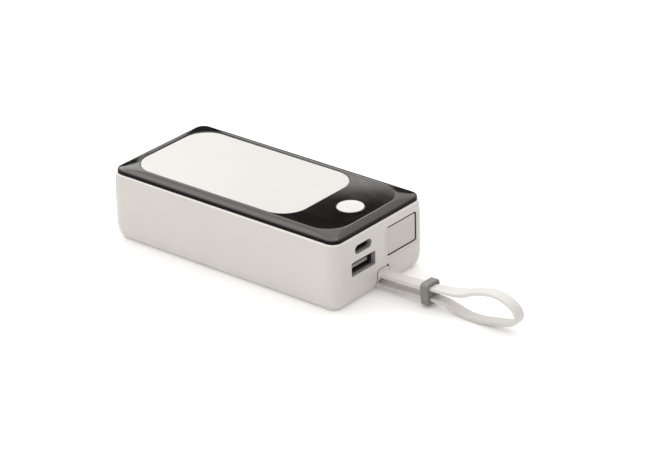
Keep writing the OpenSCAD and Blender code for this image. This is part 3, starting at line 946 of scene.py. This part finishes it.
def build_diffuser():
    """Light panel with an eased upper edge, on its hidden flange."""
    panel = plate(
        lying(LIGHT_X), LIGHT_LENGTH - 2 * LIGHT_GAP, LIGHT_WIDTH - 2 * LIGHT_GAP,
        LIGHT_RADIUS - LIGHT_GAP, light_low.z + 0.8 * MM, light_high.z, 0.22 * MM, corner=24,
    )
    flange = plate(
        lying(LIGHT_X), LIGHT_LENGTH + 2 * LIGHT_FLANGE, LIGHT_WIDTH + 2 * LIGHT_FLANGE,
        LIGHT_RADIUS + LIGHT_FLANGE, light_low.z, light_low.z + 0.9 * MM, 0.1 * MM, corner=24,
    )
    diffuser = fused("diffuser_panel", panel, flange)
    settle(diffuser, "opal_diffuser", "light_diffuser", sharp=32)


def round_bar_ring(middle, out, thickness):
    """Ring of a round bar, in the plane of out and the vertical."""
    angles = [math.tau * k / 10 for k in range(10)]
    up = Vector((0, 0, 1))
    return [middle + thickness * (out * math.cos(a) + up * math.sin(a)) for a in angles]


def arc_bar(radius, start, end, thickness, z):
    """Round bar bent along part of a circle about the button, in degrees, to cut a groove."""
    steps = 40
    rings = []
    for k in range(steps + 1):
        a = math.radians(start + (end - start) * k / steps)
        out = Vector((math.cos(a), math.sin(a), 0))
        rings.append(round_bar_ring(Vector((BUTTON_X, 0, z)) + out * radius, out, thickness))
    return skin(rings)


def straight_bar(start, end, thickness, z):
    """Round bar along X, at distances from the button's centre, to cut a groove."""
    return skin([
        round_bar_ring(Vector((BUTTON_X + x, 0, z)), Vector((0, 1, 0)), thickness)
        for x in (start, end)
    ])


def build_button():
    """Cap with an eased rim, a shallow finger dish and a faint stand-by ring, on its stem."""
    face = cap_high.z
    stem_radius = 1.6 * MM
    flange_radius = BUTTON_RADIUS + 0.9 * MM
    flange_high = TOP_Z - PLATE_THICKNESS - 0.2 * MM
    flange_low = flange_high - 0.9 * MM
    ease = 0.1 * MM
    profile = [
        (stem_radius - 0.25 * MM, cap_low.z),
        (stem_radius, cap_low.z + 0.25 * MM),
        (stem_radius, flange_low),
        (flange_radius - ease, flange_low),
        (flange_radius, flange_low + ease),
        (flange_radius, flange_high - ease),
        (flange_radius - ease, flange_high),
        (BUTTON_RADIUS, flange_high),
    ]
    rim = 0.4 * MM
    profile += [(BUTTON_RADIUS - inset, z) for z, inset in eased(face, rim)]
    dish = 0.12 * MM
    dish_radius = BUTTON_RADIUS - rim - 0.35 * MM
    profile += [
        (dish_radius * math.cos(a), face - dish * math.sin(a) ** 2 - 0.0001 * MM)
        for a in quarter_steps(12)[:-1]
    ]
    profile.append((0.05 * MM, face - dish))
    button = make("button_face", lathe(profile, BUTTON_X))
    groove = 0.2 * MM
    groove_z = face - dish + groove - 0.1 * MM
    combine(button, [
        arc_bar(1.7 * MM, -142, 142, groove, groove_z),
        straight_bar(-2.1 * MM, -0.5 * MM, groove, groove_z),
    ])
    settle(button, "white_button", "button_cap", "button", sharp=35)


def build_window():
    """Display window: an eased plate seen through the opening, and its hidden flange."""
    depth = 1.7 * MM
    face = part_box("display_window")[1].x
    shift = -0.1 * MM
    panel = plate(
        standing(WINDOW_Y + shift, WINDOW_Z + shift), WINDOW_WIDTH - 0.84 * MM,
        WINDOW_HEIGHT - 1.0 * MM, 0.8 * MM, face - depth, face, 0.14 * MM,
    )
    flange = plate(
        standing(WINDOW_Y, WINDOW_Z), WINDOW_WIDTH + 1.6 * MM, WINDOW_HEIGHT + 1.4 * MM, 1 * MM,
        INNER_X - 0.95 * MM, INNER_X - 0.1 * MM, 0.1 * MM,
    )
    window = fused("window_panel", panel, flange)
    settle(window, "display_window", "display_window", extra_finishes=[WINDOW_EDGE_SHADE])
    # Painted shade on the window's sides and flange, behind its front face
    paint(window, 1, lambda centre, normal: centre.x < face - 0.1 * MM)


def strap_collar(z, face, reach):
    """Soft flare of the anchor round one strand where it leaves, reach wide at its root."""
    play = 0.04 * MM
    stages = [(face - 1.5 * MM, reach)]
    stages += [
        (face + reach * (1 - math.cos(a)), reach * (1 - math.sin(a))) for a in quarter_steps(7)
    ]
    return skin([
        across(
            rounded_outline(STRAP_WIDTH + 2 * grow + play, STRAP_THICKNESS + 1.6 * grow + play,
                            0.5 * MM + 0.8 * grow, corner=6),
            x, STRAP_Y, z,
        )
        for x, grow in stages
    ])


def build_anchor():
    """Block that holds the strap's ends: it carries the shell's own surface across its opening."""
    anchor = make("anchor_block", skin(shell_rings()))
    gap_left = 0.22 * MM
    gap_above = 0.1 * MM
    outline = rounded_outline(ANCHOR_WIDTH - gap_left, ANCHOR_HEIGHT - gap_above, 1.5 * MM)
    window_shape = skin([
        across(outline, x, STRAP_Y + gap_left / 2, ANCHOR_Z - gap_above / 2)
        for x in (INNER_X - 2.6 * MM, FACE_X + 5 * MM)
    ])
    combine(anchor, [window_shape], "INTERSECT")
    crevice_z = LOWER_STRAND_Z + 1.25 * MM
    crevice = skin([
        across(rounded_outline(STRAP_WIDTH + 0.4 * MM, 1 * MM, 0.3 * MM, 6), x, STRAP_Y, crevice_z)
        for x in (FACE_X - 2.2 * MM, FACE_X + 1 * MM)
    ])
    combine(anchor, [crevice, relief_hole()])
    combine(anchor, [
        strap_collar(UPPER_STRAND_Z, FACE_X - 0.05 * MM, 0.6 * MM),
        strap_collar(LOWER_STRAND_Z, FACE_X - 0.75 * MM, 0.35 * MM),
    ], "UNION")
    settle(anchor, "white_shell", "strap_anchor", sharp=45, extra_finishes=[SEAM])

    def in_seam(centre, normal):
        outer = abs(centre.y - STRAP_Y) > 3.2 * MM or centre.z > ANCHOR_HIGH - 1.1 * MM
        return outer and abs(normal.x) < 0.5

    def in_crevice(centre, normal):
        near = within(centre, STRAP_Y, crevice_z, 5.44 * MM, 1.04 * MM)
        return near and centre.x < FACE_X - 0.8 * MM

    for chosen in (in_seam, in_relief, in_crevice):
        paint(anchor, 1, chosen)


def socket_tube(z, length, outside, inside, roll, corner, follow):
    """Tube with its front edge rolled over. outside and inside are width, height and corner radius.

    follow says how much of the roll the corner radius takes.
    """
    stages = [(SOCKET_FRONT - length, 0.0)] + eased(SOCKET_FRONT, roll, 3)

    def ring(size, x, inset):
        width, height, radius = size
        outline = rounded_outline(
            width - 2 * inset, height - 2 * inset, radius - follow * inset, corner
        )
        return across(outline, x, SOCKET_Y, z)

    rings = [ring(outside, x, inset) for x, inset in stages]
    rings += [ring(inside, x, -inset) for x, inset in reversed(stages)]
    return skin(rings, closed=True)


def settle_socket(socket, node, z, width, height):
    """Steel outside; painted shade at the front edge and within that width and height."""
    settle(socket, "socket_steel", node, extra_finishes=[SOCKET_INSIDE_SHADE])
    # Painted shade on the front edge and the inside of the tube
    paint(socket, 1, lambda centre, normal: (
        within(centre, SOCKET_Y, z, width, height) or centre.x > SOCKET_FRONT - 0.15 * MM
    ))


def contact_spring(y, z, side):
    """Leaf pressed inwards from the socket's wall."""
    length = 6 * MM
    start = SOCKET_FRONT - 8 * MM
    outline = rounded_outline(1.8 * MM, 0.22 * MM, 0.1 * MM, corner=2)
    rings = []
    for k in range(13):
        t = k / 12
        inward = 0.06 * MM + 0.55 * MM * math.sin(math.pi * min(1.0, 0.15 + t)) ** 2
        rings.append(across(outline, start + length * t, y, z + side * (2.35 * MM - inward)))
    return skin(rings)


def build_usb_a():
    """Socket with four contact springs and four legs up to the board, and its tongue."""
    length = 14 * MM
    back = SOCKET_FRONT - length
    leg_low = USB_A_Z + 2.5 * MM
    leg_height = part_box("main_board")[0].z - leg_low
    parts = [socket_tube(
        USB_A_Z, length, (13.1 * MM, 5.3 * MM, 0.5 * MM), (12.5 * MM, 4.7 * MM, 0.3 * MM),
        0.12 * MM, corner=6, follow=0,
    )]
    for side in (-1, 1):
        for y in (-3.1 * MM, 3.1 * MM):
            parts.append(contact_spring(SOCKET_Y + y, USB_A_Z, side))
        for x in (back + 2 * MM, back + 9 * MM):
            parts.append(block(
                (x, SOCKET_Y + side * 6.4 * MM - 0.15 * MM, leg_low),
                (2 * MM, 0.3 * MM, leg_height),
            ))
    socket = make("usb_a_socket", together(parts))
    settle_socket(socket, "usb_a_shell", USB_A_Z, 12.6 * MM, 4.8 * MM)
    tongue = plate(standing(SOCKET_Y, USB_A_Z - 0.6 * MM), 11.2 * MM, 1.4 * MM, 0.25 * MM,
                   back + 2.3 * MM, back + 13.4 * MM, 0.25 * MM, corner=4)
    base = plate(standing(SOCKET_Y, USB_A_Z), 12.4 * MM, 4.6 * MM, 0.25 * MM,
                 back + 0.4 * MM, back + 2.4 * MM, 0.1 * MM, corner=4)
    insulator = fused("usb_a_insulator", tongue, base)
    settle(insulator, "black_inner", "usb_a_tongue", extra_finishes=[TONGUE_NOSE_HIGHLIGHT])
    # Painted highlight: the tongue's front face lighter grey than the black rest
    paint(insulator, 1, lambda centre, normal: normal.x > 0.4 and centre.x > back + 2.5 * MM)


def build_usb_c():
    """Rounded socket, and its tongue with a rounded nose."""
    length = 7.3 * MM
    back = SOCKET_FRONT - length
    socket = make("usb_c_socket", socket_tube(
        USB_C_Z, length, (8.9 * MM, 3.16 * MM, 1.57 * MM), (8.34 * MM, 2.56 * MM, 1.27 * MM),
        0.1 * MM, corner=12, follow=1,
    ))
    settle_socket(socket, "usb_c_shell", USB_C_Z, 8.5 * MM, 2.7 * MM)
    tongue = plate(standing(SOCKET_Y, USB_C_Z), 6.6 * MM, 0.7 * MM, 0.3 * MM,
                   back + 1.4 * MM, back + 6.4 * MM, 0.2 * MM, corner=5)
    base = plate(standing(SOCKET_Y, USB_C_Z), 8.2 * MM, 2.4 * MM, 1.15 * MM,
                 back + 0.2 * MM, back + 1.5 * MM, 0.1 * MM)
    settle(fused("usb_c_insulator", tongue, base), "black_inner", "usb_c_tongue")


build_shell()
build_frame()
build_diffuser()
build_button()
build_window()
build_anchor()
build_usb_a()
build_usb_c()


# ---- CAD nodes that stay, with their finish and eased edges ----

def ease_edges(node, width):
    """Weld and bevel modifiers give a CAD node small rounded edges; its mesh stays as it is."""
    weld = node.modifiers.new("weld", "WELD")
    weld.merge_threshold = 0.001 * MM
    bevel = node.modifiers.new("ease", "BEVEL")
    bevel.width = width
    bevel.segments = 2
    bevel.limit_method = "ANGLE"
    bevel.angle_limit = math.radians(50)
    bevel.use_clamp_overlap = True


for part in frame["record"]["subparts"]:
    node = frame["nodes"][part["node"]]
    node.data.materials.clear()
    node.data.materials.append(FINISHES[part["material_slot"]].material)
    if not node.hide_render:
        ease_edges(node, 0.05 * MM)


# ---- Floor and light ----

def build_floor():
    """Wide pale paper floor."""
    mesh = bmesh.new()
    half = 5.0
    mesh.faces.new([mesh.verts.new((x, y, 0)) for x, y in
                    ((-half, -half), (half, -half), (half, half), (-half, half))])
    floor = make("floor", mesh)
    paper = Finish("floor_paper", (0.93, 0.925, 0.92), 0.9, {
        "Specular IOR Level": 0.1,
        "Emission Color": (1, 0.995, 0.985, 1),
        "Emission Strength": 0.12,
    })
    paper.relief(paper.grain(0.6 * MM, 2), 0.02 * MM, 0.3)
    floor.data.materials.append(paper.material)


def light_studio():
    """Soft dome: a low backdrop, a dark gap above it and a wide ceiling, brightest at the back left.

    Each stop is an elevation in degrees and a radiance. away_x and to_y tilt the brightness.
    """
    stops = [(0.0, 0.7), (8.5, 0.7), (11, 0.05), (20, 0.05), (23, 1.45), (50, 1.45), (90, 1.25)]
    away_x = 0.54
    to_y = 0.2
    strength = 2.0
    warmth = (1.0, 0.992, 0.972)
    world = bpy.data.worlds.new("studio")
    bpy.context.scene.world = world
    world.use_nodes = True
    nodes = world.node_tree.nodes
    place, split, ramp, tilt, whole = (
        nodes.new(f"ShaderNode{kind}")
        for kind in ("TexCoord", "SeparateXYZ", "ValToRGB", "VectorMath", "Math")
    )
    tilt.operation = "DOT_PRODUCT"
    tilt.inputs[1].default_value = (-away_x * strength, to_y * strength, 0)
    whole.inputs[1].default_value = strength
    background = nodes["Background"]
    for source, target in (
        (place.outputs["Generated"], split.inputs["Vector"]),
        (place.outputs["Generated"], tilt.inputs[0]),
        (tilt.outputs["Value"], whole.inputs[0]),
        (split.outputs["Z"], ramp.inputs["Fac"]),
        (ramp.outputs["Color"], background.inputs["Color"]),
        (whole.outputs["Value"], background.inputs["Strength"]),
    ):
        world.node_tree.links.new(source, target)
    elements = ramp.color_ramp.elements
    while len(elements) < len(stops):
        elements.new(1.0)
    for element, (elevation, radiance) in zip(elements, stops):
        element.position = math.sin(math.radians(elevation))
        element.color = (*[radiance / strength * channel for channel in warmth], 1)


def reflection_card(name, corners, radiance):
    """Flat card that only reflections see: grey to white by its radiance, or black at 0."""
    mesh = bmesh.new()
    mesh.faces.new([mesh.verts.new(corner) for corner in corners])
    card = make(name, mesh)
    card.data.materials.append(Finish(name, (0, 0, 0), 1.0, {
        "Specular IOR Level": 0,
        "Emission Color": (1, 0.99, 0.97, 1),
        "Emission Strength": radiance,
    }).material)
    card.visible_camera = False
    card.visible_diffuse = False
    card.visible_shadow = False
    card.visible_transmission = False


def behind(turn, distance):
    """Point behind the object, turned by so many degrees from +Y towards -X."""
    angle = math.radians(turn)
    return Vector((-math.sin(angle), math.cos(angle), 0)) * distance


def upright_card(name, turns, heights, distance, radiance):
    """Card facing the object; its turns and heights are angles in degrees, seen from the object."""
    middle = sum(turns) / 2
    half = math.tan(math.radians(turns[1] - turns[0]) / 2) * distance
    side = behind(middle - 90, half)
    low, high = (
        behind(middle, distance) + Vector((0, 0, TOP_Z + math.tan(math.radians(a)) * distance))
        for a in heights
    )
    reflection_card(name, (low - side, low + side, high + side, high - side), radiance)


def reflections():
    """What the polished top mirrors in front of the dome.

    Low down lie dark ground and a dark backdrop with two pale strips. Above them come a grey and a
    bright panel, a black flag close by, a thin glint to each side and a wide panel overhead.
    """
    # Name, turns, heights, distance and radiance
    cards = [
        ("dark_backdrop", (22, 58), (-0.5, 22.6), 4.2, 0.03),
        ("pale_strip_right", (33.15, 37.6), (-0.5, 20), 4.0, 1.0),
        ("pale_strip_left", (47.5, 49.0), (-0.5, 20), 4.0, 0.85),
        ("grey_panel", (12, 33.5), (22.6, 46), 4.1, 1.5),
        ("bright_panel", (44.5, 53), (22.6, 34), 4.1, 2.9),
        ("black_flag", (26, 45), (25.9, 33.0), 0.25, 0.0),
        ("glint_right", (27, 34), (34.0, 36.5), 3.9, 5.0),
        ("glint_left", (45, 54), (34.0, 36.5), 3.9, 5.0),
    ]
    for card in cards:
        upright_card(*card)
    overhead_z = 2.5
    reflection_card("overhead", [
        Vector((x, y, overhead_z)) for x, y in ((-3, 1.2), (3, 1.2), (3, -4.5), (-3, -4.5))
    ], 3.0)
    near = 75 * MM
    far = 3.9
    lift = Vector((0, 0, 0.5 * MM))
    reflection_card("dark_ground", [
        behind(turn, distance) + lift
        for turn, distance in ((-20, near), (-20, far), (100, far), (100, near))
    ], 0.0)


build_floor()
light_studio()
reflections()
bpy.context.scene.view_settings.view_transform = "Standard"
bpy.context.scene.view_settings.look = "None"
